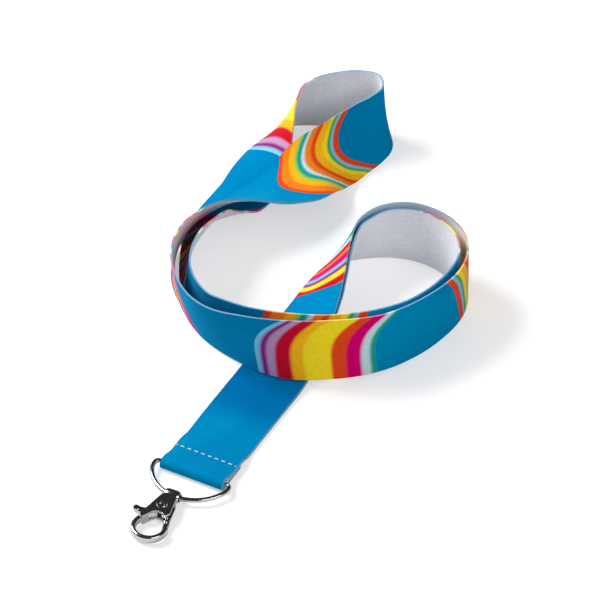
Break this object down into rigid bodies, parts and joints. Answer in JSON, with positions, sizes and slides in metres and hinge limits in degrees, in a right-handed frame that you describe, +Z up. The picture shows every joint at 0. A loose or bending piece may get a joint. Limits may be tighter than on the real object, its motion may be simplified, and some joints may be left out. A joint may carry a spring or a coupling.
{
  "type": "neck lanyard",
  "caption": "Flat woven neck strap with a printed face, laid in two loops, sewn round a wire D-ring that carries a metal trigger hook with a sprung gate.",
  "frame": {"origin": "centre of the laid lanyard on the floor it lies on", "axes": "+Z up from the floor; +Y from the hook end towards the neck loop; +X to the right of that"},
  "size_m": [0.121, 0.2262, 0.0278],
  "materials": {
    "printed_ribbon": "satin polyester weave, printed on one face, white on the other",
    "thread": "matte polyester thread",
    "nickel": "polished nickel plate",
    "spring_wire": "drawn wire"
  },
  "bodies": {
    "strap": {"ribbon": "printed_ribbon", "needle_thread": "thread", "bobbin_thread": "thread"},
    "ring": {"d_ring": "nickel"},
    "hook": {"clip_body": "nickel", "clip_rivet": "nickel", "clip_spring": "spring_wire"},
    "gate": {"clip_lever": "nickel"}
  },
  "joints": [
    {"name": "ribbon_to_ring", "type": "hinge", "parent": "strap", "child": "ring", "pos_m": [-0.0384, -0.0786, 0.00236], "axis": [0.8829, -0.4695, 0], "range_deg": [-90, 0]},
    {"name": "ring_to_hook", "type": "hinge", "parent": "ring", "child": "hook", "pos_m": [-0.04583, -0.09024, 0.00236], "axis": [0.8988, -0.4384, 0], "range_deg": [-90, 0]},
    {"name": "hook_gate", "type": "hinge", "parent": "hook", "child": "gate", "pos_m": [-0.04934, -0.09653, 0.00222], "axis": [0, 0, 1], "range_deg": [-22, 0], "stiffness_Nm_per_rad": 0.03, "springref_deg": 20.05, "deforming": ["clip_spring"]}
  ]
}
